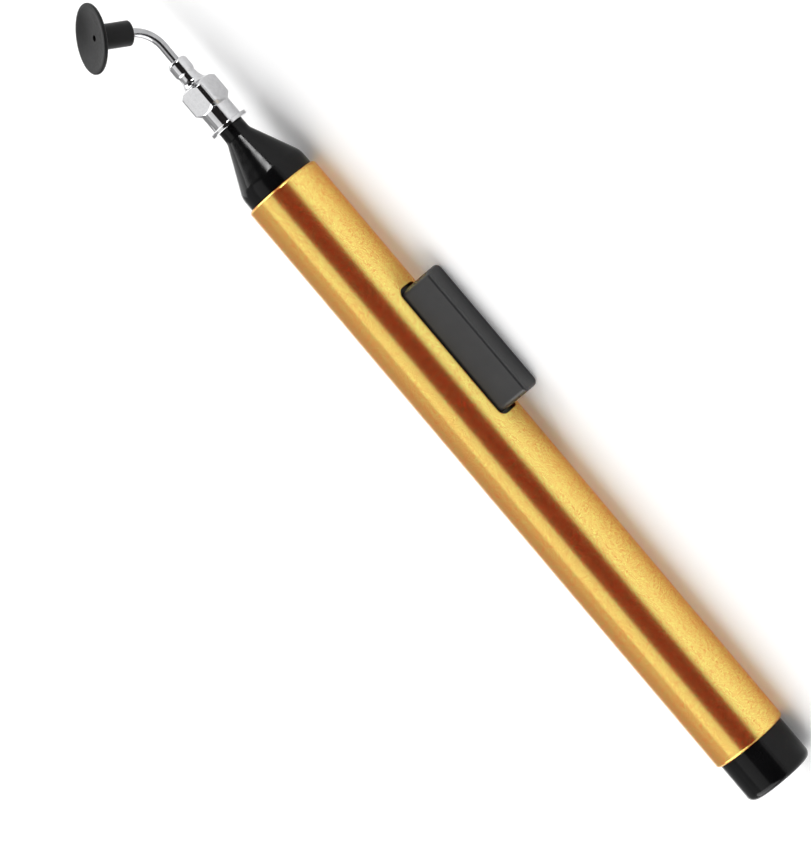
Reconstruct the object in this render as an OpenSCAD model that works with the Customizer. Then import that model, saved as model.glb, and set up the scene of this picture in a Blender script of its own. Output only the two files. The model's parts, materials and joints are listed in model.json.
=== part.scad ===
// Vacuum pick up pen for small parts: a tube with a push button over a rubber squeeze bulb,
// a moulded nose with a tapered air tip, and a swivelling bent nozzle with a suction cup.
// Units are millimetres. The pen lies as it comes to rest, on its barrel and on the edge of its
// button, with its nose toward +X. Each piece is modelled in the pen's own frame, where the axis
// is Z, the tail face is at z = 0 and the button points to +X, and lay_down() places it.

/* [Barrel tube] */
// Outside diameter of the tube
barrel_d = 12.5; // [12:0.1:13.5]
// Wall thickness of the tube
barrel_wall = 0.8; // [0.6:0.05:1]
// Length of the tube
barrel_len = 108.5; // [100:0.5:130]
// Chamfer on the outer edge at both ends of the tube
barrel_chamfer = 0.3; // [0.15:0.05:0.5]
// Radius of the slot's corners
slot_corner_r = 1.1; // [0.6:0.05:1.6]

/* [Push button] */
// Length of the key along the barrel
key_len = 23.2; // [18:0.1:27]
// Width of the key across the barrel
key_w = 3.8; // [3.4:0.1:4.4]
// Height of the key above the tube at rest
key_rise = 5.85; // [5.4:0.05:7]
// Rounding along the key's two long top edges
key_edge_r = 0.5; // [0.2:0.05:0.8]
// Rounding of the key's four upright corners
key_corner_r = 0.9; // [0.4:0.05:1.3]
// Rounding of the key's top at its two ends
key_end_r = 1; // [0.4:0.05:1.6]
// Distance from the tube's nose end to the middle of the key
key_setback = 35.4; // [32:0.2:42]
// Gap between the key and each side of the slot
key_side_gap = 0.3; // [0.15:0.05:0.4]
// Gap between the key and each end of the slot
key_end_gap = 0.5; // [0.2:0.05:0.8]
// Thickness of the curved saddle under the key
saddle_t = 1; // [0.8:0.05:1.2]
// Width of the saddle across the barrel
saddle_w = 7.4; // [6.8:0.1:8]
// Reach of the saddle past each end of the slot
saddle_lap = 1.2; // [0.8:0.1:2]
// Gap between the saddle and the tube's inner wall
saddle_gap = 0.12; // [0.08:0.01:0.2]

/* [Squeeze bulb] */
// Rubber wall thickness
bulb_wall = 1; // [0.7:0.05:1.3]
// Length of the bulb's body with its round end
bulb_len = 48; // [42:0.5:52]
// Gap between the bulb and the saddle
bulb_gap = 0.1; // [0.05:0.01:0.2]
// Gap between the bulb's neck and the nose's skirt
neck_gap = 0.15; // [0.1:0.01:0.25]

/* [Nose cone] */
// Diameter of the nose where it meets the tube
nose_d = 11.4; // [11:0.05:11.6]
// Length of the straight rim in front of the tube
nose_rim = 1.7; // [1:0.05:3]
// Radius of the shoulder between rim and cone
shoulder_r = 3; // [1.5:0.1:4]
// Angle between the cone's side and the axis
cone_angle = 25; // [22:0.5:30]
// Radius of the hollow between cone and neck
neck_r = 1.5; // [0.8:0.1:2.5]
// Visible length of the neck in front of that hollow
neck_show = 1.5; // [0.6:0.05:2]
// Diameter of the tapered tip at the nozzle's mouth
taper_d = 4.2; // [4:0.02:4.3]
// Slope of the tapered tip, as radius per length
taper_slope = 0.03; // [0.02:0.001:0.04]
// Length of the tapered tip inside the nozzle
taper_len = 6.8; // [6:0.1:7]
// Diameter of the air passage
air_d = 1.6; // [1.2:0.1:2]
// Depth of the nose's skirt inside the tube
skirt_len = 8; // [6:0.25:10]
// Wall thickness of that skirt
skirt_wall = 1.1; // [0.9:0.05:1.3]
// Thickness of the web that carries the spigot
web_t = 2; // [1.5:0.1:3]
// Diameter of the spigot that the bulb is pushed on
spigot_d = 4.6; // [4:0.1:4.8]
// Length of the spigot
spigot_len = 7.5; // [6.5:0.1:9]
// Height of the spigot's barb
barb_h = 0.35; // [0.2:0.05:0.4]
// Length of the barb's slope
barb_len = 1.6; // [1:0.1:2.2]

/* [End cap] */
// Diameter of the cap's head
cap_d = 11.5; // [11.2:0.05:11.7]
// Length of the cap's head
cap_head = 7.2; // [5:0.1:10]
// Rounding of the head's outer edge
cap_edge_r = 1.1; // [0.5:0.05:2]
// Thickness of the cap's closed end
cap_floor = 2.2; // [1.5:0.1:4]
// Depth of the cap's plug inside the tube
cap_plug = 8; // [5:0.25:12]
// Wall thickness of the plug
cap_wall = 1.3; // [1:0.05:1.8]

/* [Nozzle hub] */
// Diameter of the flange at the hub's mouth
flange_d = 6.4; // [6:0.1:7]
// Thickness of the flange
flange_t = 0.65; // [0.5:0.05:0.9]
// Rounding of the flange's two edges
flange_edge_r = 0.15; // [0.05:0.01:0.2]
// Diameter of the round part behind the square
skirt_d = 5; // [4.9:0.05:5.2]
// Length of the round part behind the square
skirt_show = 2.85; // [2.3:0.05:3.6]
// Size of the square across its flats
square_af = 5.3; // [5.2:0.05:5.6]
// Length of the square
square_len = 4.55; // [4:0.05:5.2]
// Turn of one flat against the plane of the bend
square_turn = 24; // [0:1:45]
// Length of the turned slope behind the square
rear_slope = 0.75; // [0.4:0.05:1]
// Length of the turned slope in front of the square
front_slope = 0.55; // [0.3:0.05:0.8]
// Diameter of the turned face in front of the square
face_d = 5.1; // [4.9:0.05:5.2]
// Diameter of the waist in front of the square
waist_d = 2.9; // [2.7:0.05:3.1]
// Length of the hollow flare from square to waist
flare_len = 1.95; // [1.5:0.05:2.5]
// Diameter of the collar that holds the needle
collar_d = 3.3; // [3.2:0.05:3.6]
// Length of the collar
collar_len = 2.8; // [2.2:0.05:3.2]
// Rounding of the collar's edges
collar_r = 0.7; // [0.5:0.05:0.9]

/* [Needle tube] */
// Outside diameter of the tube
needle_d = 1.4; // [1.3:0.05:1.6]
// Wall thickness of the tube
needle_wall = 0.25; // [0.15:0.01:0.3]
// Straight length between the collar and the bend
needle_run = 2.8; // [2:0.1:6]
// Radial step where the tube is drawn down for the cup
needle_step = 0.05; // [0.03:0.01:0.08]
// Angle of the bend
needle_bend = 64; // [45:1:75]
// Radius of the bend on the tube's centre line
bend_r = 5.1; // [3.5:0.1:6]
// Turn of the nozzle about the pen's axis, from the button
nozzle_turn = -111; // [-125:1:-100]

/* [Suction cup] */
// Diameter of the cup's lip
cup_d = 10.8; // [9:0.1:11]
// Length of the cup from lip to sleeve end
cup_len = 6.45; // [5.6:0.05:7.5]
// Thickness of the lip
lip_t = 0.5; // [0.45:0.05:0.9]
// Depth of the hollow in the cup's face
dish = 0.7; // [0.5:0.05:1]
// Thickness of rubber between the hollow and the back
cup_floor = 0.8; // [0.7:0.05:1.1]
// Diameter of the sleeve on the needle
sleeve_d = 3.9; // [3.3:0.1:4.2]
// Rounding of the sleeve's open end
sleeve_edge_r = 0.25; // [0.1:0.05:0.4]
// Radius of the hollow between sleeve and cup
sleeve_root_r = 0.5; // [0.2:0.05:0.8]
// Diameter of the hole in the cup's face
hole_d = 1; // [0.6:0.05:1.1]

/* [Fits] */
// Radial clearance of the nose and the cap in the tube
plug_fit = 0.02; // [0.01:0.01:0.05]
// Radial clearance of the bulb on the spigot
bulb_fit = 0.02; // [0.01:0.01:0.05]
// Radial clearance of the hub on the tapered tip
taper_fit = 0.03; // [0.02:0.01:0.06]
// Radial clearance of the needle in the hub
needle_fit = 0.02; // [0.01:0.01:0.04]
// Radial clearance of the cup on the needle
cup_fit = 0.03; // [0.02:0.01:0.06]
// Lead-in chamfer of the plugs that go into the tube
lead = 0.4; // [0.2:0.05:0.5]
// Gap at the end of a socket or a bore
end_gap = 0.2; // [0.1:0.05:0.4]

/* [Hidden] */
$fn = 96;

// The tube and what fits in it
barrel_r = barrel_d / 2;
bore_r = barrel_r - barrel_wall;
plug_r = bore_r - plug_fit;
nose_z = cap_head + barrel_len;

// The button: its saddle lies between the tube's wall and the bulb
key_z = nose_z - key_setback;
key_top = barrel_r + key_rise;
slot_w = key_w + 2 * key_side_gap;
slot_len = key_len + 2 * key_end_gap;
saddle_r = bore_r - saddle_gap;
bulb_r = saddle_r - saddle_t - bulb_gap;

// The nose: rim, shoulder arc, straight cone, hollow arc and tapered tip, each tangent to the next
nose_r = nose_d / 2;
taper_r = taper_d / 2;
root_r = taper_r + taper_slope * neck_show;
cone_r0 = nose_r - shoulder_r * (1 - cos(cone_angle));
cone_z0 = nose_rim + shoulder_r * sin(cone_angle);
cone_r1 = root_r + neck_r * (1 - cos(cone_angle));
cone_z1 = cone_z0 + (cone_r0 - cone_r1) / tan(cone_angle);
root_z = cone_z1 + neck_r * sin(cone_angle);
hub_z = nose_z + root_z + neck_show;
air_r = air_d / 2;
spigot_r = spigot_d / 2;
barb_r = spigot_r + barb_h;
spigot_z = nose_z - web_t - spigot_len;
bulb_top = nose_z - web_t;
bulb_neck_r = plug_r - skirt_wall - neck_gap;
bulb_body_z = nose_z - skirt_len - (bulb_r - bulb_neck_r) - 2 * neck_gap;

// The nozzle, measured from the hub's mouth
square_z = flange_t + skirt_show;
flare_z = square_z + square_len;
collar_z = flare_z + flare_len;
hub_len = collar_z + collar_len;
mill_run = flange_t / 2;
socket_len = taper_len + 2 * end_gap;
needle_r = needle_d / 2;
tip_r = needle_r - needle_step;
tip_root = 0.3;
bend_z = hub_len + needle_run;
bend_leg = bend_r * tan(needle_bend / 2);
corner_z = bend_z + bend_leg;

// The cup, measured along the needle's tip from the corner of the bend
cup_r = cup_d / 2;
lip_r = lip_t / 2;
cup_back = bend_leg + end_gap / 2;
cup_face = cup_back + cup_len;
cup_seat = cup_len - dish - cup_floor;
cup_bore_r = tip_r + cup_fit;
needle_tip = cup_seat + end_gap / 2 - end_gap;

// The pose at rest: the roll that brings the key's long edge to the floor beside the barrel
edge_out = key_top - key_edge_r;
edge_side = key_w / 2 - key_edge_r;
edge_reach = sqrt(edge_out * edge_out + edge_side * edge_side);
rest_roll = asin((barrel_r - key_edge_r) / edge_reach) - atan2(edge_side, edge_out);
overall = hub_z + corner_z + lip_r
    + (cup_face - lip_r) * cos(needle_bend)
    + (cup_r - lip_r) * sin(needle_bend);
key_side = edge_out * cos(rest_roll) + edge_side * sin(rest_roll) + key_edge_r;

// Points on an arc about a centre, between two angles
function arc(centre, r, from, to, steps = 8) =
    [for (i = [0:steps])
        let (a = from + (to - from) * i / steps)
        centre + r * [cos(a), sin(a)]];

// Outline of a rectangle about the origin with rounded corners
module rounded(length, width, r) {
    x = length / 2 - r;
    y = width / 2 - r;
    polygon(concat(
        arc([x, y], r, 0, 90),
        arc([-x, y], r, 90, 180),
        arc([-x, -y], r, 180, 270),
        arc([x, -y], r, 270, 360)
    ));
}

// From the pen's frame to the pen at rest, centred over the floor
module lay_down() {
    translate([-overall / 2, (key_side - barrel_r) / 2, barrel_r])
        rotate([90 + rest_roll, 0, 0])
            rotate([0, 90, 0])
                rotate([0, 0, 180])
                    children();
}

// From the pen's frame to the nozzle's, with the hub's mouth at z = 0 and the bend toward +X
module on_nozzle() {
    translate([0, 0, hub_z])
        rotate([0, 0, nozzle_turn])
            children();
}

// From the nozzle's frame to the needle's tip, with the corner of the bend at the origin
module on_tip() {
    translate([0, 0, corner_z])
        rotate([0, needle_bend, 0])
            children();
}

module barrel_tube() {
    color("goldenrod")
    difference() {
        translate([0, 0, cap_head])
            rotate_extrude()
                polygon([
                    [bore_r, 0],
                    [barrel_r - barrel_chamfer, 0],
                    [barrel_r, barrel_chamfer],
                    [barrel_r, barrel_len - barrel_chamfer],
                    [barrel_r - barrel_chamfer, barrel_len],
                    [bore_r, barrel_len]
                ]);
        translate([0, 0, key_z])
            rotate([0, 90, 0])
                linear_extrude(height = barrel_d)
                    rounded(slot_len, slot_w, slot_corner_r);
    }
}

module end_cap() {
    color("black")
    rotate_extrude()
        polygon(concat(
            [[0, 0]],
            arc([cap_d / 2 - cap_edge_r, cap_edge_r], cap_edge_r, -90, 0),
            [
                [cap_d / 2, cap_head],
                [plug_r, cap_head],
                [plug_r, cap_head + cap_plug - lead],
                [plug_r - lead, cap_head + cap_plug],
                [plug_r - cap_wall, cap_head + cap_plug],
                [plug_r - cap_wall, cap_floor],
                [0, cap_floor]
            ]
        ));
}

module nose_cone() {
    tip_z = root_z + neck_show + taper_len;
    tip_r = taper_r - taper_slope * taper_len;
    color("black")
    translate([0, 0, nose_z])
        rotate_extrude()
            polygon(concat(
                [
                    [air_r, -web_t - spigot_len],
                    [spigot_r - barb_h, -web_t - spigot_len],
                    [barb_r, -web_t - spigot_len + barb_len],
                    [spigot_r, -web_t - spigot_len + barb_len],
                    [spigot_r, -web_t],
                    [plug_r - skirt_wall, -web_t],
                    [plug_r - skirt_wall, -skirt_len],
                    [plug_r - lead, -skirt_len],
                    [plug_r, -skirt_len + lead],
                    [plug_r, 0],
                    [nose_r, 0]
                ],
                arc([nose_r - shoulder_r, nose_rim], shoulder_r, 0, cone_angle),
                arc([root_r + neck_r, root_z], neck_r, 180 + cone_angle, 180),
                [
                    [tip_r, tip_z - lead / 2],
                    [tip_r - lead / 2, tip_z],
                    [air_r, tip_z]
                ]
            ));
}

module squeeze_bulb() {
    cavity_r = bulb_r - bulb_wall;
    dome_z = bulb_body_z - bulb_len + bulb_r;
    barb_back = spigot_z + barb_len + bulb_fit;
    color("dimgray")
    rotate_extrude()
        polygon(concat(
            [
                [spigot_r + bulb_fit, bulb_top],
                [spigot_r + bulb_fit, barb_back],
                [barb_r + bulb_fit, barb_back],
                [barb_r + bulb_fit, spigot_z],
                [cavity_r, spigot_z - (cavity_r - barb_r)]
            ],
            arc([0, dome_z], cavity_r, 0, -90, 12),
            arc([0, dome_z], bulb_r, -90, 0, 12),
            [
                [bulb_r, bulb_body_z],
                [bulb_neck_r, bulb_body_z + (bulb_r - bulb_neck_r)],
                [bulb_neck_r, bulb_top]
            ]
        ));
}

module push_button() {
    color("black")
    translate([0, 0, key_z]) {
        // Key: its outline from above, from the side and from the end, crossed with each other
        intersection() {
            rotate([0, 90, 0])
                linear_extrude(height = key_top)
                    rounded(key_len, key_w, key_corner_r);
            rotate([90, 0, 0])
                linear_extrude(height = key_w + 1, center = true)
                    rounded(2 * key_top, key_len, key_end_r);
            linear_extrude(height = key_len + 1, center = true)
                rounded(2 * key_top, key_w, key_edge_r);
            translate([saddle_r - saddle_t / 2, -key_w, -key_len])
                cube([key_top, 2 * key_w, 2 * key_len]);
        }
        // Saddle: a strip of tube that spreads the push over the bulb and keeps the key in
        intersection() {
            difference() {
                cylinder(r = saddle_r, h = slot_len + 2 * saddle_lap, center = true);
                cylinder(r = saddle_r - saddle_t, h = slot_len + 2 * saddle_lap + 1, center = true);
            }
            translate([0, -saddle_w / 2, -slot_len])
                cube([barrel_d, saddle_w, 2 * slot_len]);
        }
    }
}

module nozzle_hub() {
    waist_r = waist_d / 2;
    collar_c = collar_d / 2 - collar_r;
    collar_from = -acos((waist_r - collar_c) / collar_r);
    mouth_r = taper_r + taper_fit;
    color("silver")
    on_nozzle()
        difference() {
            rotate_extrude()
                polygon(concat(
                    [[0, 0]],
                    arc([flange_d / 2 - flange_edge_r, flange_edge_r], flange_edge_r, -90, 0, 4),
                    arc([flange_d / 2 - flange_edge_r, flange_t - flange_edge_r], flange_edge_r,
                        0, 90, 4),
                    [
                        [skirt_d / 2, flange_t],
                        [skirt_d / 2, square_z],
                        [flange_d / 2, square_z + rear_slope],
                        [flange_d / 2, flare_z - front_slope]
                    ],
                    flare_curve(face_d / 2, waist_r),
                    arc([collar_c, collar_z + collar_r], collar_r, collar_from, 0, 5),
                    arc([collar_c, hub_len - collar_r], collar_r, 0, 90),
                    [[0, hub_len]]
                ));
            // Four flats milled on the turned bar, whose round is left at the corners
            translate([0, 0, square_z - mill_run])
                rotate([0, 0, square_turn])
                    linear_extrude(height = square_len + 2 * mill_run)
                        difference() {
                            square(2 * flange_d, center = true);
                            square(square_af, center = true);
                        }
            // Tapered socket, then the bore for the needle
            translate([0, 0, -taper_slope])
                cylinder(
                    r1 = mouth_r + taper_slope * taper_slope,
                    r2 = mouth_r - taper_slope * socket_len,
                    h = socket_len + taper_slope
                );
            cylinder(r = needle_r + needle_fit, h = hub_len + 1);
        }
}

// Hollow flare of the hub from the front of the square down to the waist
function flare_curve(flare_r, waist_r) =
    [for (i = [0:8])
        let (a = 90 * i / 8)
        [flare_r - (flare_r - waist_r) * sin(a), flare_z + flare_len * (1 - cos(a))]];

// Cross-section of the needle's wall
module needle_ring(r) {
    difference() {
        circle(r = r);
        circle(r = r - needle_wall);
    }
}

module needle_tube() {
    color("gainsboro")
    on_nozzle() {
        translate([0, 0, socket_len])
            linear_extrude(height = bend_z - socket_len)
                needle_ring(needle_r);
        translate([bend_r, 0, bend_z])
            rotate([-90, 0, 0])
                rotate([0, 0, 180])
                    rotate_extrude(angle = needle_bend)
                        translate([bend_r, 0])
                            needle_ring(needle_r);
        // The tip is drawn down a little where the cup sits, and grows out of the bend's wall
        on_tip()
            translate([0, 0, bend_leg - tip_root])
                linear_extrude(height = tip_root + needle_tip)
                    needle_ring(tip_r);
    }
}

module suction_cup() {
    sleeve_r = sleeve_d / 2;
    back_z = cup_len - lip_t;
    color("black")
    on_nozzle()
        on_tip()
            translate([0, 0, cup_back])
                rotate_extrude()
                    polygon(concat(
                        [[cup_bore_r, 0]],
                        arc([sleeve_r - sleeve_edge_r, sleeve_edge_r], sleeve_edge_r, -90, 0, 4),
                        arc([sleeve_r + sleeve_root_r, cup_seat - sleeve_root_r], sleeve_root_r,
                            180, 90),
                        arc([cup_r - lip_r, back_z + lip_r], lip_r, -80, 70),
                        dish_curve(hole_d / 2, cup_r - lip_t),
                        [
                            [hole_d / 2, cup_seat],
                            [cup_bore_r, cup_seat]
                        ]
                    ));
}

// Hollow of the cup's face from the lip in to the hole
function dish_curve(inner, outer) =
    [for (i = [0:8])
        let (t = i / 8)
        [outer + (inner - outer) * t, cup_len - dish * sin(90 * t)]];

lay_down() barrel_tube();
lay_down() end_cap();
lay_down() nose_cone();
lay_down() squeeze_bulb();
lay_down() push_button();
lay_down() nozzle_hub();
lay_down() needle_tube();
lay_down() suction_cup();
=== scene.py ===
"""Looks of the vacuum pick up pen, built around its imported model.

Sizes are in millimetres in the classes below and in metres in the scene. Each piece is shaped
along the axes of its own seat: the pen's axis is local Z from the tail to the nose, and local X
points to the button.
"""

import json
import logging
import math
from dataclasses import dataclass
from enum import Enum
from typing import Callable, Sequence

import bmesh
import bpy
from mathutils import Matrix, Vector


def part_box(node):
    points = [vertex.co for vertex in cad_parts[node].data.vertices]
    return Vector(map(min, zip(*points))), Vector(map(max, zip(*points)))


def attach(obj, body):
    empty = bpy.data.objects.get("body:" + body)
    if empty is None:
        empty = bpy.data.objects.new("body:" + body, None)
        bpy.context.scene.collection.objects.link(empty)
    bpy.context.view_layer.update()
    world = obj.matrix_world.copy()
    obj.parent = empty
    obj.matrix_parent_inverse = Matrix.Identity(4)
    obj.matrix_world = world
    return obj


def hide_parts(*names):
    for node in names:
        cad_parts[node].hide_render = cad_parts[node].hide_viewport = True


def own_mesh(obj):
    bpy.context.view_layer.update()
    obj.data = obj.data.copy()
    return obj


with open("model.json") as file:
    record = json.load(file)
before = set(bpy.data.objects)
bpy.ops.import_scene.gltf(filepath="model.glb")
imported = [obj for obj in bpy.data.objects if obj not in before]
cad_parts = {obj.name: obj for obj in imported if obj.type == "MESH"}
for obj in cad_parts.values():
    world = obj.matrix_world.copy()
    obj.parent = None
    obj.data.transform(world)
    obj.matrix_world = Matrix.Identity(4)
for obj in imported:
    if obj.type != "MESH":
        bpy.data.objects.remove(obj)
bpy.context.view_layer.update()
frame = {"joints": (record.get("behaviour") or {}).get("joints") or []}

MM = 0.001
ALONG = Vector((1, 0, 0))  # the pen's axis in the row frame, toward the nose
QUARTER = tuple(math.radians(90 * i / 8) for i in range(9))  # a quarter turn in eight steps
SMOOTH_ANGLE = 32.0  # edges flatter than this are shaded smooth, in degrees
SMOOTH_MARGIN = 8.0  # added to that angle beside broken edges and on the needle
SLACK = 0.004  # how far a corner may lie off its ring
INSET = 0.01  # how far inside a face a test for its corners lies
DOUBLE = 0.0005  # corners nearer than this are one
MIDDLE = (0.3, 0.7)  # where most values of a noise lie
FINE_SHARE = 0.55  # weight of a noise's finer octaves

Color = tuple[float, float, float]
Triple = tuple[float, float, float]
Span = tuple[float, float]
Socket = bpy.types.NodeSocket
log = logging.getLogger("pen")


class Body(Enum):
    """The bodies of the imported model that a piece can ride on."""

    BARREL = "barrel"
    BUTTON = "button"
    NOZZLE = "nozzle"
    CUP = "cup"


class Join(Enum):
    """How one shape is combined with another."""

    ADD = "UNION"
    CUT = "DIFFERENCE"


@dataclass(frozen=True)
class Ring:
    """One ring of a turned piece.

    Attributes:
        height: Place along the piece's axis.
        radius: Radius of the ring, 0 for a closed end on the axis.
        rounding: Radius of the arc that replaces the ring's edge, 0 for none.
        steps: Faces across that arc.
    """

    height: float
    radius: float
    rounding: float = 0.0
    steps: int = 5

    def holds(self, corner: Vector) -> bool:
        """Tells whether a corner lies on the ring."""
        reach = math.hypot(corner.x, corner.y)
        return abs(corner.z - self.height) < SLACK and abs(reach - self.radius) < SLACK


class Graph:
    """A material's node tree while it is being wired."""

    def __init__(self, name: str) -> None:
        """Makes an empty material with a Principled shader.

        Args:
            name: Name of the material.
        """
        self.material = bpy.data.materials.new(name)
        self.material.use_nodes = True
        self.tree = self.material.node_tree
        self.shader = self.tree.nodes["Principled BSDF"]
        self.place = self.add("ShaderNodeTexCoord").outputs["Object"]

    def add(self, kind: str, **values: object) -> bpy.types.Node:
        """Adds a node and sets its inputs by name.

        Args:
            kind: Blender's type of the node.
            **values: Input values, with underscores for the spaces in a name.

        Returns:
            The new node.
        """
        node = self.tree.nodes.new(kind)
        for key, value in values.items():
            node.inputs[key.replace("_", " ")].default_value = value
        return node

    def link(self, source: Socket, target: Socket) -> None:
        """Joins an output to an input."""
        self.tree.links.new(source, target)

    def set(self, **values: object) -> None:
        """Sets constants on the shader's own sockets, by name with underscores for spaces."""
        for key, value in values.items():
            self.shader.inputs[key.replace("_", " ")].default_value = value

    def stretched(self, scale: Sequence[float]) -> Socket:
        """Gives the object's coordinates stretched by a factor on each axis.

        Args:
            scale: Factors along X, Y and Z.

        Returns:
            The stretched coordinates.
        """
        node = self.add("ShaderNodeMapping", Scale=scale)
        self.link(self.place, node.inputs["Vector"])
        return node.outputs[0]

    def noise(self, scale: float, detail: float = 3.0, where: Socket | None = None) -> Socket:
        """Adds noise on the object's own coordinates.

        Args:
            scale: Features per metre.
            detail: Octaves of the noise.
            where: Coordinates, the object's own where None.

        Returns:
            The noise's value.
        """
        node = self.add("ShaderNodeTexNoise", Scale=scale, Detail=detail, Roughness=FINE_SHARE)
        self.link(where or self.place, node.inputs["Vector"])
        return node.outputs[0]

    def spread(self, value: Socket, low: float, high: float, edges: Span = MIDDLE) -> Socket:
        """Maps a part of a noise onto a range.

        Args:
            value: The noise.
            low: Value at the noise's low end.
            high: Value at its high end.
            edges: The noise's low and high end.

        Returns:
            The mapped value.
        """
        node = self.add(
            "ShaderNodeMapRange", From_Min=edges[0], From_Max=edges[1], To_Min=low, To_Max=high
        )
        self.link(value, node.inputs["Value"])
        return node.outputs[0]

    def tint(self, value: Socket, low: Color, high: Color) -> None:
        """Colours the surface between two tints.

        Args:
            value: What decides between the tints.
            low: Tint at the low end.
            high: Tint at the high end.
        """
        ramp = self.add("ShaderNodeValToRGB")
        for stop, place, color in zip(ramp.color_ramp.elements, MIDDLE, (low, high)):
            stop.position = place
            stop.color = (*color, 1.0)
        self.link(value, ramp.inputs[0])
        self.link(ramp.outputs[0], self.shader.inputs["Base Color"])

    def bump(self, height: Socket, strength: float, depth: float) -> None:
        """Raises and lowers the surface by a height, on top of any bump wired before.

        Args:
            height: The height's pattern.
            strength: Share of the effect.
            depth: Full height in millimetres.
        """
        node = self.add("ShaderNodeBump", Strength=strength, Distance=depth * MM)
        self.link(height, node.inputs["Height"])
        taken = self.shader.inputs["Normal"].links
        if taken:
            self.link(taken[0].from_socket, node.inputs["Normal"])
        self.link(node.outputs[0], self.shader.inputs["Normal"])


@dataclass(frozen=True)
class Finish:
    """What all finishes share.

    In the finishes below, a pattern's size is in features per metre, and a relief is a bump's
    strength and its depth in millimetres.

    Attributes:
        slot: The record's material slot.
    """

    slot: str

    def wire(self, graph: Graph) -> None:
        """Wires the finish into a material's nodes."""
        raise NotImplementedError

    def dress(self, piece: bpy.types.Object) -> None:
        """Gives a piece this finish and names its slot.

        Args:
            piece: The finished piece.
        """
        name = f"{self.slot}_finish"
        material = bpy.data.materials.get(name)
        if material is None:
            graph = Graph(name)
            self.wire(graph)
            material = graph.material
        piece.data.materials.clear()
        piece.data.materials.append(material)


@dataclass(frozen=True)
class Anodised(Finish):
    """Satin dyed aluminium: bright tops, fine pits that hold more dye, and drawing lines."""

    pits: Color = (0.90, 0.05, 0.016)
    tops: Color = (0.95, 0.95, 0.25)
    satin: Span = (0.66, 0.22)  # roughness of pits and tops
    grain: float = 16000.0
    grain_edges: Span = (0.44, 0.49)
    grain_relief: Span = (0.06, 0.004)
    lines: Triple = (25.0, 2400.0, 2400.0)
    line_relief: Span = (0.16, 0.004)

    def wire(self, graph: Graph) -> None:
        """Wires the grain, the lines and the dye in the pits.

        Args:
            graph: The material's nodes.
        """
        grain = graph.spread(graph.noise(self.grain, detail=1.0), 0.0, 1.0, self.grain_edges)
        lines = graph.noise(1.0, detail=2.0, where=graph.stretched(self.lines))
        graph.tint(grain, self.pits, self.tops)
        graph.link(graph.spread(grain, *self.satin), graph.shader.inputs["Roughness"])
        graph.bump(lines, *self.line_relief)
        graph.bump(grain, *self.grain_relief)
        graph.set(Metallic=1.0)


@dataclass(frozen=True)
class Moulded(Finish):
    """Black moulded plastic: a polished skin with slight waviness and a fine haze."""

    low: Color = (0.0035, 0.0035, 0.0038)
    high: Color = (0.0055, 0.0055, 0.006)
    clouds: float = 260.0
    polish: Span = (0.12, 0.19)
    haze: float = 1100.0
    haze_depth: float = 0.002
    wave: float = 0.2  # strength of waves and haze
    waves: float = 420.0
    wave_depth: float = 0.01
    shine: float = 0.18
    index: float = 1.53

    def wire(self, graph: Graph) -> None:
        """Wires the haze, the waviness and the uneven black.

        Args:
            graph: The material's nodes.
        """
        haze = graph.noise(self.haze, detail=1.0)
        graph.tint(graph.noise(self.clouds), self.low, self.high)
        graph.link(graph.spread(haze, *self.polish), graph.shader.inputs["Roughness"])
        graph.bump(graph.noise(self.waves, detail=1.0), self.wave, self.wave_depth)
        graph.bump(haze, self.wave, self.haze_depth)
        graph.set(IOR=self.index, Specular_IOR_Level=self.shine)


@dataclass(frozen=True)
class Plated(Finish):
    """Bright plating over turned metal: fine tool rings round the axis and slight haze."""

    low: Color = (0.60, 0.60, 0.61)
    high: Color = (0.68, 0.68, 0.69)
    polish: Span = (0.05, 0.12)
    haze: float = 1800.0
    ring_pitch: float = 0.12
    ring_drift: float = 60.0  # how fast a ring changes on its way round
    ring_relief: Span = (0.2, 0.004)

    def wire(self, graph: Graph) -> None:
        """Wires the tool rings and the haze.

        Args:
            graph: The material's nodes.
        """
        haze = graph.noise(self.haze, detail=4.0)
        stretch = (1.0 / (self.ring_pitch * MM), self.ring_drift, self.ring_drift)
        rings = graph.noise(1.0, detail=2.0, where=graph.stretched(stretch))
        graph.tint(haze, self.low, self.high)
        graph.link(graph.spread(haze, *self.polish), graph.shader.inputs["Roughness"])
        graph.bump(rings, *self.ring_relief)
        graph.set(Metallic=1.0)


@dataclass(frozen=True)
class Drawn(Finish):
    """Drawn stainless steel: soft sheen with die lines and small stains."""

    low: Color = (0.36, 0.36, 0.37)
    high: Color = (0.48, 0.48, 0.49)
    stains: float = 700.0
    polish: Span = (0.16, 0.28)
    lines: Triple = (220.0, 5200.0, 1200.0)
    line_relief: Span = (0.25, 0.004)

    def wire(self, graph: Graph) -> None:
        """Wires the die lines and the stains.

        Args:
            graph: The material's nodes.
        """
        lines = graph.noise(1.0, detail=3.0, where=graph.stretched(self.lines))
        graph.tint(graph.noise(self.stains), self.low, self.high)
        graph.link(graph.spread(lines, *self.polish), graph.shader.inputs["Roughness"])
        graph.bump(lines, *self.line_relief)
        graph.set(Metallic=1.0)


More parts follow.
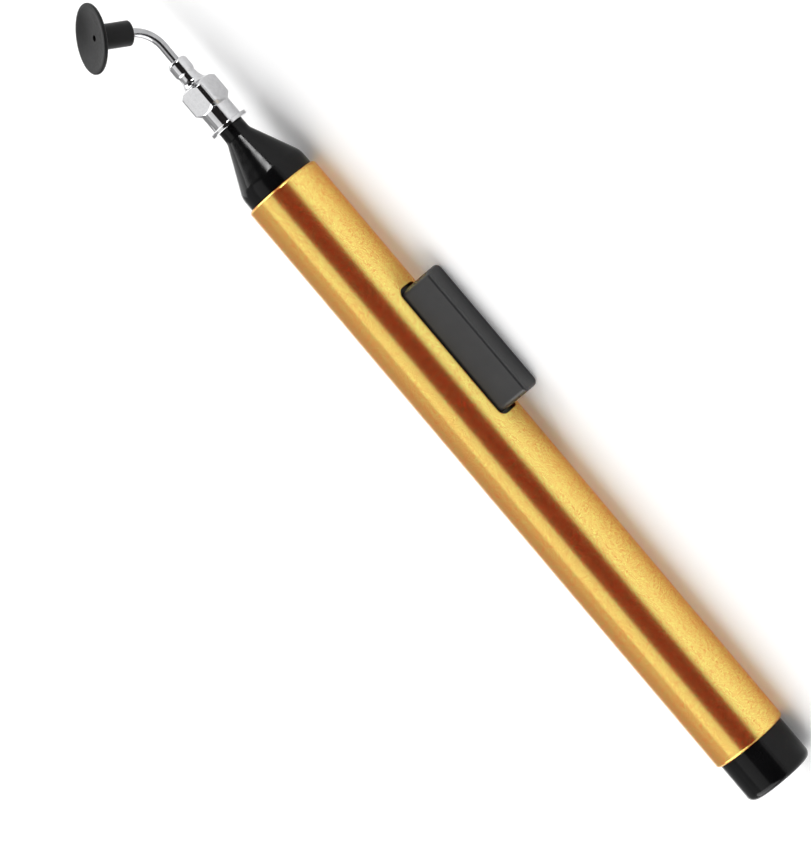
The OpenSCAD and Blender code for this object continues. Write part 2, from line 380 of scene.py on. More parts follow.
@dataclass(frozen=True)
class Rubber(Finish):
    """Black rubber: matte, a little dusty, with the fine pitting of its mould."""

    low: Color = (0.007, 0.007, 0.0073)
    high: Color = (0.011, 0.011, 0.0114)
    dust: float = 500.0
    matte: Span = (0.36, 0.46)
    pits: float = 3200.0
    pit_relief: Span = (0.3, 0.02)
    shine: float = 0.16
    index: float = 1.5

    def wire(self, graph: Graph) -> None:
        """Wires the pitting and the dust.

        Args:
            graph: The material's nodes.
        """
        pits = graph.noise(self.pits, detail=3.0)
        graph.tint(graph.noise(self.dust, detail=4.0), self.low, self.high)
        graph.link(graph.spread(pits, *self.matte), graph.shader.inputs["Roughness"])
        graph.bump(pits, *self.pit_relief)
        graph.set(IOR=self.index, Specular_IOR_Level=self.shine)


def clear_bench() -> None:
    """Leaves edit mode and deselects everything."""
    if bpy.context.object and bpy.context.object.mode != "OBJECT":
        bpy.ops.object.mode_set(mode="OBJECT")
    bpy.ops.object.select_all(action="DESELECT")


def activate(piece: bpy.types.Object) -> None:
    """Makes a piece the only selected and active object.

    Args:
        piece: The piece.
    """
    clear_bench()
    piece.select_set(True)
    bpy.context.view_layer.objects.active = piece


def shade_smooth(angle: float) -> None:
    """Shades the selected piece smooth across edges flatter than an angle in degrees."""
    bpy.ops.object.shade_smooth_by_angle(angle=math.radians(angle))


class Bench:
    """Shapes one piece in edit mode along the axes of its seat."""

    def __init__(self, name: str, seat: Matrix) -> None:
        """Prepares the bench.

        Args:
            name: Name of the piece.
            seat: Place and turn of the piece's own axes, in metres.
        """
        self.name = name
        self.seat = seat
        self.back = seat.inverted()
        self.obj: bpy.types.Object | None = None

    def point(self, x: float, y: float, z: float) -> Vector:
        """Gives a point of the piece in the row frame, in metres."""
        return self.seat @ (Vector((x, y, z)) * MM)

    def way(self, x: float, y: float, z: float) -> Vector:
        """Gives a move of the piece in the row frame, in metres."""
        return self.seat.to_3x3() @ (Vector((x, y, z)) * MM)

    def _open(self) -> None:
        """Names the new primitive and opens it for editing, all selected."""
        self.obj = bpy.context.object
        self.obj.name = self.name
        self.obj.data.name = self.name
        bpy.ops.object.mode_set(mode="EDIT")
        bpy.ops.mesh.select_all(action="SELECT")

    def circle(self, height: float, radius: float, sides: int) -> None:
        """Adds a circle round the axis and opens it.

        Args:
            height: Place along the axis.
            radius: Radius of the circle.
            sides: Sides of the circle.
        """
        clear_bench()
        bpy.ops.mesh.primitive_circle_add(
            vertices=sides,
            radius=radius * MM,
            location=self.point(0, 0, height),
            rotation=self.seat.to_euler(),
        )
        self._open()

    def block(self, middle: Sequence[float], size: Sequence[float]) -> None:
        """Adds a block and opens it.

        Args:
            middle: Middle of the block.
            size: Length along each axis.
        """
        clear_bench()
        bpy.ops.mesh.primitive_cube_add(
            size=1.0,
            location=self.point(*middle),
            rotation=self.seat.to_euler(),
            scale=[s * MM for s in size],
        )
        bpy.ops.object.transform_apply(location=False, rotation=False, scale=True)
        self._open()

    def select(self, test: Callable[[Vector], bool]) -> None:
        """Selects the edges whose two corners pass a test of their place.

        Args:
            test: Test of a corner's place on the piece's own axes, in millimetres.
        """
        bpy.ops.mesh.select_mode(type="EDGE")
        bpy.ops.mesh.select_all(action="DESELECT")
        mesh = bmesh.from_edit_mesh(self.obj.data)
        turn = self.back @ self.obj.matrix_world
        passed = {v.index for v in mesh.verts if test((turn @ v.co) / MM)}
        for edge in mesh.edges:
            if all(v.index in passed for v in edge.verts):
                edge.select_set(True)
        mesh.select_flush_mode()
        bmesh.update_edit_mesh(self.obj.data)

    def select_rings(self, *rings: Ring) -> None:
        """Selects the edges of one or more rings."""
        self.select(lambda p: any(ring.holds(p) for ring in rings))

    def extrude(self, move: Vector) -> None:
        """Extrudes what is selected by a move in the row frame."""
        bpy.ops.mesh.extrude_region_move(TRANSFORM_OT_translate={"value": move})

    def grow(self, start: Ring, end: Ring) -> None:
        """Extrudes the selected ring to the next one, or to a point on the axis.

        Args:
            start: The selected ring.
            end: The next ring.
        """
        self.extrude(self.way(0, 0, end.height - start.height))
        if end.radius > 0:
            share = end.radius / start.radius
            centre = self.point(0, 0, end.height)
            bpy.ops.transform.resize(value=(share, share, share), center_override=centre)
        else:
            bpy.ops.mesh.merge(type="CENTER")

    def bevel(self, offset: float, steps: int) -> None:
        """Bevels the selected edges.

        Args:
            offset: Distance of the new edges from the old one.
            steps: Faces across the bevel.
        """
        bpy.ops.mesh.bevel(
            offset=offset * MM, segments=steps, profile=0.5, affect="EDGES", clamp_overlap=False
        )

    def round_corners(
        self, width: float, length: float, radius: float, middle: float = 0.0
    ) -> None:
        """Rounds the four corners of a block as seen along its local X.

        Args:
            width: Width of the block along local Y.
            length: Length of the block along local Z.
            radius: Radius of the corners.
            middle: Height of the block's middle.
        """
        half_w, half_l = width / 2 - INSET, length / 2 - INSET
        for side in (-1, 1):
            for end in (-1, 1):
                self.select(lambda p: p.y * side > half_w and (p.z - middle) * end > half_l)
                self.bevel(radius, steps=8)

    def turn(
        self, rings: Sequence[Ring], sides: int = 96, closed: bool = False
    ) -> bpy.types.Object:
        """Turns a piece ring by ring from its profile, and rounds the rings that ask for it.

        Args:
            rings: The profile. A radius of 0 at an end closes it on the axis.
            sides: Sides of each ring.
            closed: Whether the last ring joins the first one, as in a piece with a bore.

        Returns:
            The turned piece.
        """
        body = [r for r in rings if r.radius > 0]
        self.circle(body[0].height, body[0].radius, sides)
        for start, end in zip(body, body[1:]):
            self.grow(start, end)
        if closed:
            self.select_rings(body[0], body[-1])
            bpy.ops.mesh.bridge_edge_loops()
        else:
            if rings[-1].radius == 0:
                self.grow(body[-1], rings[-1])
            if rings[0].radius == 0:
                self.select_rings(body[0])
                self.grow(body[0], rings[0])
        self._tidy()
        for i, ring in enumerate(rings):
            if ring.rounding > 0:
                before, after = rings[i - 1], rings[(i + 1) % len(rings)]
                came = Vector((ring.height - before.height, ring.radius - before.radius))
                goes = Vector((after.height - ring.height, after.radius - ring.radius))
                self.select_rings(ring)
                self.bevel(ring.rounding * math.tan(came.angle(goes) / 2), ring.steps)
        return self.done()

    def _tidy(self) -> None:
        """Merges doubled corners and turns the faces outward."""
        bpy.ops.mesh.select_mode(type="VERT")
        bpy.ops.mesh.select_all(action="SELECT")
        bpy.ops.mesh.remove_doubles(threshold=DOUBLE * MM)
        bpy.ops.mesh.normals_make_consistent(inside=False)

    def done(self) -> bpy.types.Object:
        """Closes the piece, puts its place into its mesh and shades it.

        Returns:
            The piece, at the origin, unturned and unscaled.
        """
        self._tidy()
        activate(self.obj)
        bpy.ops.object.transform_apply(location=True, rotation=True, scale=True)
        shade_smooth(SMOOTH_ANGLE)
        return self.obj


def apply_modifier(piece: bpy.types.Object, kind: str, **settings: object) -> None:
    """Gives a piece a modifier and applies it.

    Args:
        piece: The piece.
        kind: Blender's type of the modifier.
        **settings: The modifier's settings by name.
    """
    activate(piece)
    modifier = piece.modifiers.new(kind.lower(), kind)
    for key, value in settings.items():
        setattr(modifier, key, value)
    bpy.ops.object.modifier_apply(modifier=modifier.name)


def combine(piece: bpy.types.Object, other: bpy.types.Object, how: Join) -> None:
    """Adds another shape to a piece or cuts it off, and uses that shape up.

    Args:
        piece: The piece that stays.
        other: The shape that is used up.
        how: Whether the shape is added or cut off.
    """
    apply_modifier(piece, "BOOLEAN", operation=how.value, solver="EXACT", object=other)
    bpy.data.objects.remove(other)


def even_shading(piece: bpy.types.Object, angle: float) -> None:
    """Shades a piece smooth, with its flat faces kept flat up to their edges.

    Args:
        piece: The piece.
        angle: Edges flatter than this are shaded smooth, in degrees.
    """
    activate(piece)
    shade_smooth(angle)
    apply_modifier(piece, "WEIGHTED_NORMAL", keep_sharp=True)


def soften(piece: bpy.types.Object, width: float, angle: float = SMOOTH_ANGLE) -> None:
    """Breaks a piece's sharp edges and evens the shading beside them.

    Args:
        piece: The piece.
        width: Width of the broken edge.
        angle: Edges sharper than this are broken, in degrees.
    """
    apply_modifier(
        piece,
        "BEVEL",
        width=width * MM,
        segments=2,
        limit_method="ANGLE",
        angle_limit=math.radians(angle),
        use_clamp_overlap=False,
    )
    even_shading(piece, angle + SMOOTH_MARGIN)


def settle(piece: bpy.types.Object, body: Body, node: str, finish: Finish) -> None:
    """Dresses a piece, puts it in the place of its solid and reports it.

    Args:
        piece: The finished piece.
        body: The body it rides on.
        node: The solid that it stands for.
        finish: Its finish.
    """
    finish.dress(piece)
    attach(piece, body.value)
    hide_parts(node)
    log.info("%s rides on %s with %d faces", piece.name, body.value, len(piece.data.polygons))


@dataclass(frozen=True)
class Layout:
    """Where the pen's own axes lie in the row frame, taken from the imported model.

    Attributes:
        tail: The middle of the tail face.
        button: Direction in which the button stands.
        hub: The middle of the hub's mouth.
        tip: Direction of the needle's tip.
    """

    tail: Vector
    button: Vector
    hub: Vector
    tip: Vector

    @classmethod
    def read(cls) -> "Layout":
        """Reads the places from the joints and the cap's box.

        Returns:
            The layout.
        """
        joints = {j["name"]: j for j in frame["joints"]}
        hub = Vector(joints["nozzle_swivel"]["pos_m"])
        tail = Vector((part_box("end_cap")[0].x, hub.y, hub.z))
        button = -Vector(joints["button_press"]["axis"]).normalized()
        return cls(tail, button, hub, Vector(joints["cup_pull"]["axis"]).normalized())

    @staticmethod
    def _seat(origin: Vector, x_axis: Vector) -> Matrix:
        """Gives the seat at a point, with local Z along the pen and local X as given."""
        turn = Matrix((x_axis, ALONG.cross(x_axis), ALONG)).transposed()
        return Matrix.Translation(origin) @ turn.to_4x4()

    def pen(self, height: float = 0.0) -> Matrix:
        """Gives the seat on the pen's axis at a height from the tail, in millimetres."""
        return self._seat(self.tail + ALONG * height * MM, self.button)

    def nozzle(self) -> Matrix:
        """Gives the seat at the hub's mouth, with local X toward the bend."""
        return self._seat(self.hub, (self.tip - ALONG * self.tip.x).normalized())


@dataclass
class Barrel:
    """The anodised tube with the slot for the button."""

    start: float = 7.2  # from the tail face
    length: float = 108.5
    outside: float = 12.5  # diameter
    wall: float = 0.8
    chamfer: float = 0.3
    slot_length: float = 24.2
    slot_width: float = 4.4
    slot_corner: float = 1.1
    slot_setback: float = 35.4  # from the front end to the slot's middle
    broken_edge: float = 0.07
    bands: int = 12  # stretches along the tube
    finish: Finish = Anodised("gold_anodised")

    def build(self, layout: Layout) -> None:
        """Turns the tube, cuts the slot and breaks its edges.

        Args:
            layout: The pen's place.
        """
        seat = layout.pen(self.start)
        outer, bore = self.outside / 2, self.outside / 2 - self.wall
        rings = [
            Ring(0, bore),
            Ring(0, outer - self.chamfer),
            Ring(self.chamfer, outer),
            *(Ring(self.length * i / self.bands, outer) for i in range(1, self.bands)),
            Ring(self.length - self.chamfer, outer),
            Ring(self.length, outer - self.chamfer),
            Ring(self.length, bore),
        ]
        tube = Bench("barrel_tube_skin", seat).turn(rings, sides=160, closed=True)
        cutter = Bench("slot_cutter", seat)
        middle = self.length - self.slot_setback
        cutter.block((outer, 0, middle), (self.outside, self.slot_width, self.slot_length))
        cutter.round_corners(self.slot_width, self.slot_length, self.slot_corner, middle)
        combine(tube, cutter.done(), Join.CUT)
        soften(tube, self.broken_edge)
        settle(tube, Body.BARREL, "barrel_tube", self.finish)


@dataclass
class EndCap:
    """The moulded cap at the tail, with its hollow plug inside the tube."""

    head: float = 7.2  # length outside the tube
    diameter: float = 11.5
    edge: float = 1.1  # rounding of the tail face
    seam_edge: float = 0.12  # rounding beside the tube
    floor: float = 2.2  # thickness of the closed end
    plug: float = 8.0  # length inside the tube
    plug_radius: float = 5.43
    plug_wall: float = 1.3
    lead: float = 0.4  # chamfer that leads the plug in
    finish: Finish = Moulded("black_gloss")

    def build(self, layout: Layout) -> None:
        """Turns the cap.

        Args:
            layout: The pen's place.
        """
        end = self.head + self.plug
        inner = self.plug_radius - self.plug_wall
        rings = [
            Ring(0, 0),
            Ring(0, self.diameter / 2, self.edge, steps=10),
            Ring(self.head, self.diameter / 2, self.seam_edge, steps=3),
            Ring(self.head, self.plug_radius),
            Ring(end - self.lead, self.plug_radius),
            Ring(end, self.plug_radius - self.lead),
            Ring(end, inner),
            Ring(self.floor, inner),
            Ring(self.floor, 0),
        ]
        cap = Bench("end_cap_moulding", layout.pen()).turn(rings)
        settle(cap, Body.BARREL, "end_cap", self.finish)


@dataclass
class NoseCone:
    """The moulded nose: rim, shoulder, cone, neck and tapered tip, with the bulb's spigot."""

    start: float = 115.7  # from the tail face
    diameter: float = 11.4
    seam_edge: float = 0.12  # rounding beside the tube
    rim: float = 1.7
    shoulder: float = 3.0  # rounding between rim and cone
    cone_angle: float = 25.0
    hollow: float = 1.5  # rounding between cone and neck
    neck: float = 1.5
    taper_radius: float = 2.1  # at the hub's mouth
    taper_slope: float = 0.03
    taper_length: float = 6.8
    air_radius: float = 0.8
    plug_radius: float = 5.43
    skirt_wall: float = 1.1
    skirt: float = 8.0  # length inside the tube
    web: float = 2.0  # wall that carries the spigot
    spigot_radius: float = 2.3
    spigot: float = 7.5
    barb: float = 0.35
    barb_length: float = 1.6
    lead: float = 0.4  # chamfer that leads the skirt in
    finish: Finish = Moulded("black_gloss")

    def build(self, layout: Layout) -> None:
        """Turns the nose.

        Args:
            layout: The pen's place.
        """
        slope = math.tan(math.radians(self.cone_angle))
        half = math.tan(math.radians(self.cone_angle / 2))
        root = self.taper_radius + self.taper_slope * self.neck
        rim_end = self.rim + self.shoulder * half
        cone_end = rim_end + (self.diameter / 2 - root) / slope
        tip = cone_end + self.hollow * half + self.neck + self.taper_length
        tip_radius = self.taper_radius - self.taper_slope * self.taper_length
        back = -self.web - self.spigot
        inner = self.plug_radius - self.skirt_wall
        rings = [
            Ring(back, self.air_radius),
            Ring(back, self.spigot_radius - self.barb),
            Ring(back + self.barb_length, self.spigot_radius + self.barb),
            Ring(back + self.barb_length, self.spigot_radius),
            Ring(-self.web, self.spigot_radius),
            Ring(-self.web, inner),
            Ring(-self.skirt, inner),
            Ring(-self.skirt, self.plug_radius - self.lead),
            Ring(self.lead - self.skirt, self.plug_radius),
            Ring(0, self.plug_radius),
            Ring(0, self.diameter / 2, self.seam_edge, steps=3),
            Ring(rim_end, self.diameter / 2, self.shoulder, steps=10),
            Ring(cone_end, root, self.hollow, steps=8),
            Ring(tip - self.lead / 2, tip_radius),
            Ring(tip, tip_radius - self.lead / 2),
            Ring(tip, self.air_radius),
        ]
        nose = Bench("nose_cone_moulding", layout.pen(self.start)).turn(rings, closed=True)
        settle(nose, Body.BARREL, "nose_cone", self.finish)


@dataclass
class SqueezeBulb:
    """The rubber bulb under the button, on the spigot behind the nose."""

    top: float = 113.7  # from the tail face, as the heights below
    bottom: float = 59.35
    body_top: float = 107.35
    spigot_end: float = 106.2
    radius: float = 4.23
    wall: float = 1.0
    neck_radius: float = 4.18
    neck_edge: float = 0.2
    spigot_radius: float = 2.32
    barb_radius: float = 2.67
    barb_length: float = 1.62
    pressed_share: float = 0.29  # thickness left under the pressed button
    finish: Finish = Rubber("bulb_rubber")

    def build(self, layout: Layout) -> None:
        """Turns the bulb and gives it a mesh of its own.

        Args:
            layout: The pen's place.
        """
        cavity = self.radius - self.wall
        dome = self.bottom + self.radius
        turns = QUARTER[1:]
        barb_back = self.spigot_end + self.barb_length
        rings = [
            Ring(self.bottom, 0),
            *(Ring(dome - self.radius * math.cos(a), self.radius * math.sin(a)) for a in turns),
            Ring(self.body_top, self.radius),
            Ring(self.body_top + self.radius - self.neck_radius, self.neck_radius),
            Ring(self.top, self.neck_radius, self.neck_edge, steps=3),
            Ring(self.top, self.spigot_radius),
            Ring(barb_back, self.spigot_radius),
            Ring(barb_back, self.barb_radius),
            Ring(self.spigot_end, self.barb_radius),
            Ring(self.spigot_end + self.barb_radius - cavity, cavity),
            *(Ring(dome - cavity * math.cos(a), cavity * math.sin(a)) for a in reversed(turns)),
            Ring(dome - cavity, 0),
        ]
        bulb = Bench("squeeze_bulb_rubber", layout.pen()).turn(rings, sides=64)
        settle(bulb, Body.BARREL, "squeeze_bulb", self.finish)
        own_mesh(bulb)


@dataclass
class PushButton:
    """The moulded key that stands through the slot, on its curved saddle."""

    middle: float = 80.3  # from the tail face
    length: float = 23.2
    width: float = 3.8
    top: float = 12.1  # from the pen's axis, as the bottom
    bottom: float = 4.83
    corner: float = 0.9
    top_edge: float = 0.55
    saddle_radius: float = 5.33
    saddle: float = 1.0  # thickness
    saddle_width: float = 7.4
    saddle_length: float = 26.6
    finish: Finish = Moulded(
        "button_black",
        low=(0.025, 0.025, 0.026),
        high=(0.032, 0.032, 0.033),
        polish=(0.3, 0.4),
        shine=0.55,
        wave=0.04,
    )

    def build(self, layout: Layout) -> None:
        """Shapes the key and its saddle, and joins them.

        Args:
            layout: The pen's place.
        """
        seat = layout.pen(self.middle)
        key = self._key(seat)
        combine(key, self._saddle(seat), Join.ADD)
        even_shading(key, SMOOTH_ANGLE)
        settle(key, Body.BUTTON, "push_button", self.finish)

    def _key(self, seat: Matrix) -> bpy.types.Object:
        """Bevels a block into the key: its upright corners first, then the rim of its top.

        Args:
            seat: The button's seat.

        Returns:
            The key.
        """
        bench = Bench("push_button_key", seat)
        height = self.top - self.bottom
        bench.block((self.bottom + height / 2, 0, 0), (height, self.width, self.length))
        bench.round_corners(self.width, self.length, self.corner)
        bench.select(lambda p: p.x > self.top - INSET)
        bench.bevel(self.top_edge, steps=5)
        return bench.done()

    def _saddle(self, seat: Matrix) -> bpy.types.Object:
        """Makes the saddle as a strip of a tube, thickened inward.

        Args:
            seat: The button's seat.

        Returns:
            The saddle.
        """
        bench = Bench("button_saddle", seat)
        bench.circle(-self.saddle_length / 2, self.saddle_radius, sides=180)
        bench.select(lambda p: p.x < 0 or abs(p.y) > self.saddle_width / 2)
        bpy.ops.mesh.select_mode(type="VERT")
        bpy.ops.mesh.delete(type="VERT")
        bpy.ops.mesh.select_all(action="SELECT")
        bench.extrude(bench.way(0, 0, self.saddle_length))
        strip = bench.done()
        face = strip.data.polygons[0]
        outward = (bench.back @ face.center).normalized()
        outward.z = 0
        faces_out = (bench.back.to_3x3() @ face.normal).dot(outward) > 0
        offset = -1.0 if faces_out else 1.0
        apply_modifier(strip, "SOLIDIFY", thickness=self.saddle * MM, offset=offset)
        bpy.ops.object.mode_set(mode="EDIT")
        bpy.ops.mesh.select_all(action="SELECT")
        bpy.ops.mesh.normals_make_consistent(inside=False)
        bpy.ops.object.mode_set(mode="OBJECT")
        return strip


@dataclass
class Nozzle:
    """The plated hub on the nose's tip, and the bent needle that is fixed in it."""

    mouth_radius: float = 2.13
    taper_slope: float = 0.03
    socket: float = 7.2  # depth
    flange_radius: float = 3.2
    flange: float = 0.65  # thickness
    flange_edge: float = 0.14
    skirt_radius: float = 2.5
    skirt_fillet: float = 0.1
    square_start: float = 3.5
    square: float = 4.55  # length
    flats: float = 5.3  # across the flats
    square_turn: float = 24.0  # from the plane of the bend
    rear_slope: float = 0.75
    front_slope: float = 0.55
    face_radius: float = 2.55  # front of the square
    waist_radius: float = 1.45
    flare: float = 1.95
    collar_radius: float = 1.65
    collar: float = 2.8
    collar_rise: float = 0.2  # from the waist to the collar's slope, and along that slope
    collar_root: float = 0.65  # rounding behind
    collar_rounding: float = 0.7  # rounding in front
    bore: float = 0.72
    broken_edge: float = 0.04
    broken_angle: float = 28.0
    mill_depth: float = 2.0
    mill_width: float = 8.0
    mill_run: float = 0.2  # past each end of the square
    needle_radius: float = 0.7
    needle_wall: float = 0.25
    needle_run: float = 2.8  # from the hub to the bend
    needle_step: float = 0.05  # drawn down at the tip
    step_length: float = 0.1
    bend: float = 64.0
    bend_radius: float = 5.1
    tip_length: float = 4.85
    hub_finish: Finish = Plated("plated_hub")
    needle_finish: Finish = Drawn("needle_steel")

    @property
    def length(self) -> float:
        """Length of the hub."""
        return self.square_start + self.square + self.flare + self.collar

    @property
    def corner(self) -> float:
        """Distance from the hub's mouth to the corner of the bend."""
        return self.length + self.needle_run + self.leg

    @property
    def leg(self) -> float:
        """Distance from the bend's start to its corner."""
        return self.bend_radius * math.tan(math.radians(self.bend / 2))

    def tip_seat(self, layout: Layout, distance: float) -> Matrix:
        """Gives the seat on the needle's tip.

        Args:
            layout: The pen's place.
            distance: Distance from the corner of the bend along the tip.

        Returns:
            The seat, with local Z along the tip.
        """
        turn = Matrix.Rotation(math.radians(self.bend), 4, "Y")
        to_corner = Matrix.Translation((0, 0, self.corner * MM))
        return layout.nozzle() @ to_corner @ turn @ Matrix.Translation((0, 0, distance * MM))

    def build_hub(self, layout: Layout) -> None:
        """Turns the hub from its bar and mills the four flats.

        Args:
            layout: The pen's place.
        """
        seat = layout.nozzle()
        front = self.square_start + self.square
        waist = front + self.flare
        fall = self.face_radius - self.waist_radius
        rings = [
            Ring(0, self.mouth_radius),
            Ring(0, self.flange_radius, self.flange_edge, steps=3),
            Ring(self.flange, self.flange_radius, self.flange_edge, steps=3),
            Ring(self.flange, self.skirt_radius, self.skirt_fillet, steps=3),
            Ring(self.square_start, self.skirt_radius),
            Ring(self.square_start + self.rear_slope, self.flange_radius),
            Ring(front - self.front_slope, self.flange_radius),
            *(
                Ring(
                    front + self.flare * (1 - math.cos(a)),
                    self.face_radius - fall * math.sin(a),
                )
                for a in QUARTER
            ),
            Ring(waist + self.collar_rise, self.waist_radius),
            Ring(waist + 2 * self.collar_rise, self.collar_radius, self.collar_root),
            Ring(self.length, self.collar_radius, self.collar_rounding, steps=8),
            Ring(self.length, self.bore),
            Ring(self.socket, self.bore),
            Ring(self.socket, self.mouth_radius - self.taper_slope * self.socket),
        ]
        hub = Bench("nozzle_hub_body", seat).turn(rings, sides=128, closed=True)
        for quarter in range(4):
            self._mill(hub, seat, self.square_turn + 90 * quarter)
        soften(hub, self.broken_edge, self.broken_angle)
        settle(hub, Body.NOZZLE, "nozzle_hub", self.hub_finish)

    def _mill(self, hub: bpy.types.Object, seat: Matrix, angle: float) -> None:
        """Mills one flat of the square.

        Args:
            hub: The turned hub.
            seat: The hub's seat.
            angle: Turn of the flat from the plane of the bend, in degrees.
        """
        cutter = Bench("flat_cutter", seat @ Matrix.Rotation(math.radians(angle), 4, "Z"))
        middle = self.square_start + self.square / 2
        cutter.block(
            (self.flats / 2 + self.mill_depth / 2, 0, middle),
            (self.mill_depth, self.mill_width, self.square + 2 * self.mill_run),
        )
        combine(hub, cutter.done(), Join.CUT)

    def build_needle(self, layout: Layout) -> None:
        """Draws the needle: a straight run, the bend, and the tip that carries the cup.

        Args:
            layout: The pen's place.
        """
        bench = Bench("needle_tube_drawn", layout.nozzle())
        bend_start = self.length + self.needle_run
        start = Ring(self.socket, self.needle_radius)
        bench.circle(start.height, start.radius, sides=40)
        bench.grow(start, Ring(bend_start, self.needle_radius))
        bpy.ops.mesh.spin(
            steps=20,
            angle=-math.radians(self.bend),
            center=bench.point(self.bend_radius, 0, bend_start),
            axis=bench.way(0, 1 / MM, 0),
        )
        tip = Bench("tip", self.tip_seat(layout, self.leg))
        share = 1 - self.needle_step / self.needle_radius
        bench.extrude(tip.way(0, 0, self.step_length))
        bpy.ops.transform.resize(
            value=(share, share, share), center_override=tip.point(0, 0, self.step_length)
        )
        bench.extrude(tip.way(0, 0, self.tip_length - self.step_length))
        needle = bench.done()
        apply_modifier(needle, "SOLIDIFY", thickness=self.needle_wall * MM, offset=-1.0)
        shade_smooth(SMOOTH_ANGLE + SMOOTH_MARGIN)
        settle(needle, Body.NOZZLE, "needle_tube", self.needle_finish)


@dataclass
class SuctionCup:
    """The rubber cup: a sleeve on the needle, a thin lip and a hollow face with its hole."""

    lift: float = 0.1  # from the bend's end to the sleeve
    length: float = 6.45
    radius: float = 5.4
    lip: float = 0.5  # thickness
    rim_share: float = 0.8  # rounding of the rim in front, to that behind
    dish: float = 0.7  # depth of the hollow face
    dish_edge: float = 0.5
    dish_bands: int = 10
    floor: float = 0.8  # thickness behind the face
    sleeve_radius: float = 1.95
    sleeve_edge: float = 0.25
    fillet: float = 0.5
    bore: float = 0.68
    hole_radius: float = 0.5
    finish: Finish = Rubber("cup_rubber")

    def build(self, layout: Layout, nozzle: Nozzle) -> None:
        """Turns the cup on the needle's tip.

        Args:
            layout: The pen's place.
            nozzle: The nozzle that carries the cup.
        """
        seat = nozzle.tip_seat(layout, nozzle.leg + self.lift)
        root = self.length - self.dish - self.floor
        edge = self.lip / 2
        outer = self.radius - 2 * edge
        face = [i / self.dish_bands for i in range(1, self.dish_bands + 1)]
        rings = [
            Ring(0, self.bore),
            Ring(0, self.sleeve_radius, self.sleeve_edge, steps=4),
            Ring(root, self.sleeve_radius, self.fillet, steps=6),
            Ring(self.length - self.lip, self.radius, edge),
            Ring(self.length, self.radius, edge * self.rim_share),
            Ring(self.length, outer, self.dish_edge, steps=4),
            *(
                Ring(
                    self.length - self.dish * math.sin(math.pi / 2 * t),
                    outer + (self.hole_radius - outer) * t,
                )
                for t in face
            ),
            Ring(root, self.hole_radius),
            Ring(root, self.bore),
        ]
        cup = Bench("suction_cup_rubber", seat).turn(rings, closed=True)
        settle(cup, Body.CUP, "suction_cup", self.finish)


@dataclass(frozen=True)
class Softbox:
    """An evenly glowing rectangle that the camera doesn't see.

    Attributes:
        name: Name of the lamp.
        place: Middle of the softbox, in metres.
        aim: Point that it faces, in metres.
        size: Length and width, in metres.
        radiance: Brightness of its face, where 1 is white.
    """

    name: str
    place: Triple
    aim: Triple
    size: Span
    radiance: float

    def hang(self) -> None:
        """Hangs the softbox."""
        clear_bench()
        bpy.ops.object.light_add(type="AREA", location=self.place)
        lamp = bpy.context.object
        lamp.name = self.name
        lamp.data.shape = "RECTANGLE"
        lamp.data.size, lamp.data.size_y = self.size
        lamp.data.energy = self.radiance * math.pi * self.size[0] * self.size[1]
        away = Vector(self.place) - Vector(self.aim)
        lamp.rotation_euler = away.to_track_quat("Z", "Y").to_euler()
        lamp.visible_camera = False


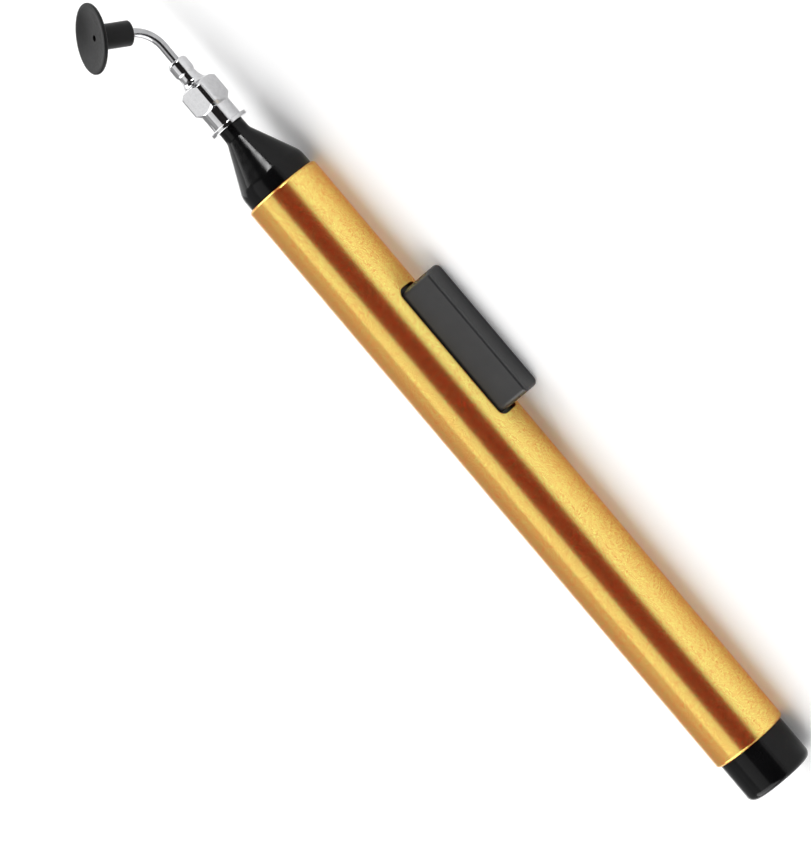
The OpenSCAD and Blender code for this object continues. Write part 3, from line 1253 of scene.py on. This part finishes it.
@dataclass
class Studio:
    """The pale floor, the soft lights, the room around them and the camera."""

    floor_size: float = 6.0  # in metres
    floor_white: float = 0.95
    floor_uneven: float = 0.01
    floor_clouds: float = 3.0
    floor_glow: float = 0.13
    room_front: Color = (0.022, 0.020, 0.020)
    room_back: Color = (0.36, 0.36, 0.36)
    softboxes: tuple[Softbox, ...] = (
        Softbox("overhead", (0.0, -0.056, 0.5), (0.0, -0.056, 0.0), (0.7, 0.352), 0.84),
        Softbox("overhead_back", (0.0, 0.26, 0.5), (0.0, 0.26, 0.0), (0.7, 0.28), 0.13),
        Softbox("front_card", (0.0, -2.0, 0.15), (0.0, 0.0, 0.15), (3.0, 0.3), 0.8),
        Softbox("cup_card", (0.42, 0.78, 0.3), (0.07, 0.0, 0.015), (0.45, 0.45), 0.9),
        Softbox("tail_side", (-1.2, 0.3, 0.9), (0.0, 0.0, 0.0), (1.9, 1.4), 2.8),
        Softbox("nose_side", (1.3, 0.45, 0.6), (0.0, 0.0, 0.0), (1.4, 1.0), 2.9),
        Softbox("nose_key", (0.76, -0.56, 0.22), (0.05, 0.0, 0.01), (0.08, 0.28), 30.0),
    )
    target: Triple = (-1.1215, 2.74868, 16.208)
    azimuth: float = -0.033
    elevation: float = 27.304
    distance: float = 742.27
    roll: float = 229.83
    focal_px: float = 5000.0
    image_height: float = 850.0
    sensor: float = 36.0
    clip: Span = (0.02, 50.0)  # in metres

    def build(self) -> None:
        """Sets up the floor, the room, the lights and the camera."""
        self._floor()
        self._room()
        for softbox in self.softboxes:
            softbox.hang()
        self._camera()
        bpy.context.scene.view_settings.view_transform = "Standard"

    def _floor(self) -> None:
        """Lays the floor with a slightly uneven white."""
        clear_bench()
        bpy.ops.mesh.primitive_grid_add(x_subdivisions=8, y_subdivisions=8, size=self.floor_size)
        floor = bpy.context.object
        floor.name = "studio_floor"
        graph = Graph("floor_white")
        white = self.floor_white
        dull = white - self.floor_uneven
        graph.tint(graph.noise(self.floor_clouds), (dull,) * 3, (white,) * 3)
        graph.set(Roughness=0.9, Specular_IOR_Level=0.0)
        self._lift(graph)
        floor.data.materials.append(graph.material)

    def _lift(self, graph: Graph) -> None:
        """Lifts the floor's white for the camera and in reflections, with no light for the pen.

        Args:
            graph: The floor's nodes.
        """
        rays = graph.add("ShaderNodeLightPath")
        seen = rays.outputs["Is Camera Ray"]
        for kind in ("Is Glossy Ray", "Is Transmission Ray"):
            either = graph.add("ShaderNodeMath")
            either.operation = "MAXIMUM"
            graph.link(seen, either.inputs[0])
            graph.link(rays.outputs[kind], either.inputs[1])
            seen = either.outputs[0]
        glow = graph.add("ShaderNodeMath")
        glow.operation = "MULTIPLY"
        glow.inputs[1].default_value = self.floor_glow
        graph.link(seen, glow.inputs[0])
        graph.link(glow.outputs[0], graph.shader.inputs["Emission Strength"])

    def _room(self) -> None:
        """Lights the room: dim on the camera's side and pale behind the pen."""
        world = bpy.data.worlds.new("room")
        bpy.context.scene.world = world
        world.use_nodes = True
        tree = world.node_tree
        place = tree.nodes.new("ShaderNodeTexCoord")
        split = tree.nodes.new("ShaderNodeSeparateXYZ")
        shift = tree.nodes.new("ShaderNodeMapRange")
        shift.inputs["From Min"].default_value = -1.0
        ramp = tree.nodes.new("ShaderNodeValToRGB")
        shades = (self.room_front, self.room_back)
        for stop, edge, color in zip(ramp.color_ramp.elements, MIDDLE, shades):
            stop.position = edge
            stop.color = (*color, 1.0)
        tree.links.new(place.outputs["Generated"], split.inputs[0])
        tree.links.new(split.outputs["Y"], shift.inputs["Value"])
        tree.links.new(shift.outputs[0], ramp.inputs[0])
        tree.links.new(ramp.outputs[0], tree.nodes["Background"].inputs["Color"])

    def _camera(self) -> None:
        """Places the camera at the photograph's viewing angle."""
        turn, rise, roll = (math.radians(a) for a in (self.azimuth, self.elevation, self.roll))
        level = math.cos(rise)
        back = Vector((math.sin(turn) * level, -math.cos(turn) * level, math.sin(rise)))
        right = Vector((math.cos(turn), math.sin(turn), 0.0))
        up = back.cross(right)
        rolled_right = right * math.cos(roll) + up * math.sin(roll)
        rolled_up = up * math.cos(roll) - right * math.sin(roll)
        clear_bench()
        bpy.ops.object.camera_add()
        camera = bpy.context.object
        camera.name = "photo_camera"
        lens = camera.data
        lens.sensor_fit = "VERTICAL"
        lens.sensor_height = self.sensor
        lens.lens = self.focal_px / self.image_height * self.sensor
        lens.clip_start, lens.clip_end = self.clip
        lens.dof.use_dof = False
        place = (Vector(self.target) + back * self.distance) * MM
        axes = Matrix((rolled_right, rolled_up, back)).transposed()
        camera.matrix_world = Matrix.Translation(place) @ axes.to_4x4()
        bpy.context.scene.camera = camera


def main() -> None:
    """Builds the pen piece by piece, then the studio."""
    logging.basicConfig(level=logging.INFO, format="%(name)s: %(message)s")
    layout = Layout.read()
    nozzle = Nozzle()
    for part in (Barrel(), EndCap(), NoseCone(), SqueezeBulb(), PushButton()):
        part.build(layout)
    nozzle.build_hub(layout)
    nozzle.build_needle(layout)
    SuctionCup().build(layout, nozzle)
    Studio().build()


if __name__ == "__main__":
    main()
